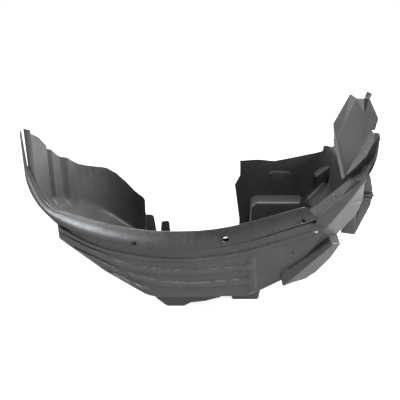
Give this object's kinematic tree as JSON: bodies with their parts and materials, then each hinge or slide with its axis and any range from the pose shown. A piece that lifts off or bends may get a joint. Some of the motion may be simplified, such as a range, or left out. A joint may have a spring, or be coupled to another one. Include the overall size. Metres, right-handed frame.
{
  "type": "wheel arch cover",
  "caption": "Moulded wheel arch liner with a lip, ribbed shoulder, open strut gap, folded end panel and a side tab with a spring clip nut.",
  "frame": {"origin": "centre of the middle lip hole at the lip's front face", "axes": "+X along the arch from the plain end wall to the folded end panel, +Y from the lip inboard, +Z from the crown to the open side, so the cover lies crown down"},
  "size_m": [0.6955, 0.2657, 0.48],
  "materials": {
    "liner_plastic": "injection-moulded black polypropylene with a satin grain",
    "clip_steel": "black phosphated spring steel, glossy"
  },
  "bodies": {
    "root": {"liner": "liner_plastic", "clip_nut": "clip_steel"}
  },
  "joints": []
}
